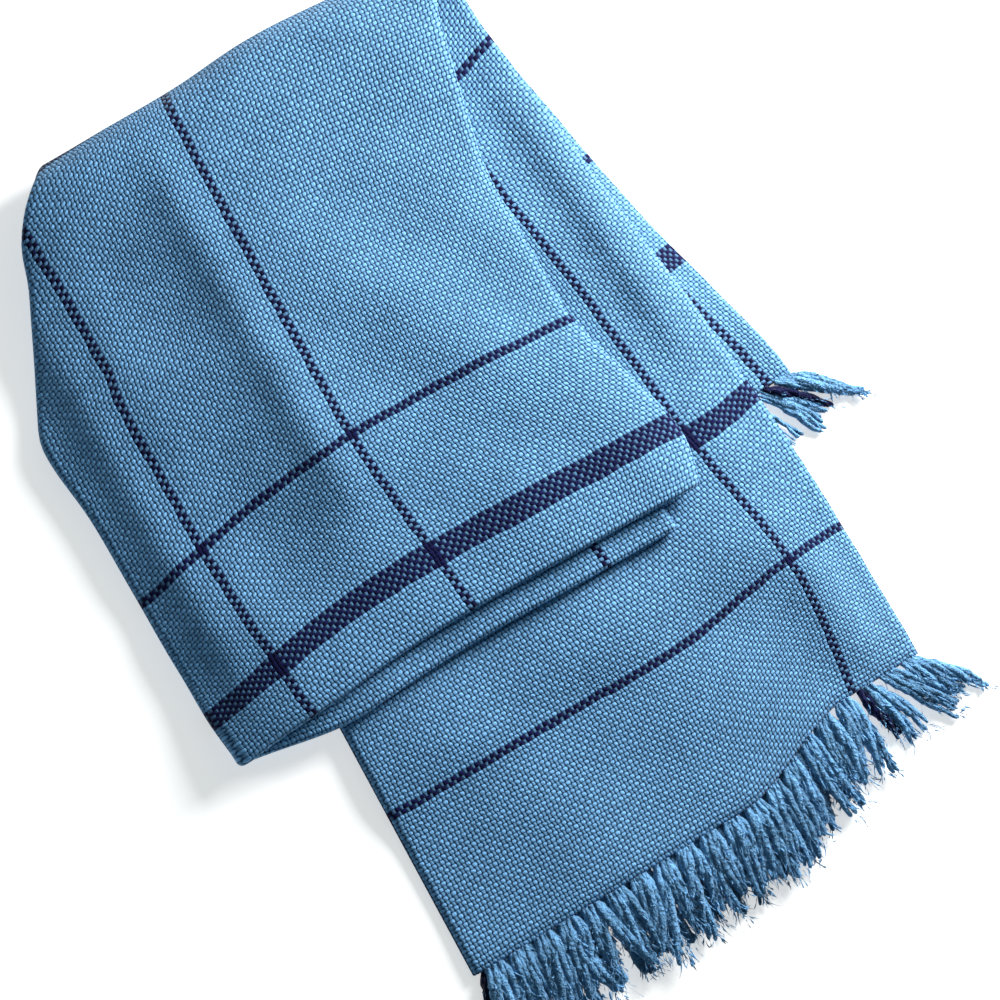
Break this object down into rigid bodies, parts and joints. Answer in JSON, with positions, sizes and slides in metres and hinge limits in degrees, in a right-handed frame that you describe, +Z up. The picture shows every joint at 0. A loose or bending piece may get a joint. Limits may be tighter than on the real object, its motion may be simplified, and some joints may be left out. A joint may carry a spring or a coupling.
{
  "type": "folded shuka blanket",
  "caption": "Folded wool blanket wrap with thin and broad window-pane stripes and a knotted fringe at both ends, lying in stacked layers.",
  "frame": {"origin": "middle of the footprint, on the surface that the blanket lies on", "axes": "+Z up through the layers, +Y along the cloth's length towards the fold where the stack turns back over itself, +X across the cloth towards its right selvedge"},
  "size_m": [0.5368, 0.7284, 0.0382],
  "materials": {
    "blanket_wool": "matt plain-woven wool, light blue with dark navy window-pane stripes",
    "fringe_wool": "matt fluffy twisted wool yarn in knotted bunches"
  },
  "bodies": {
    "root": {"blanket": "blanket_wool", "fringe_near_upper": "fringe_wool", "fringe_near_lower": "fringe_wool", "fringe_far_upper": "fringe_wool", "fringe_far_lower": "fringe_wool"}
  },
  "joints": []
}
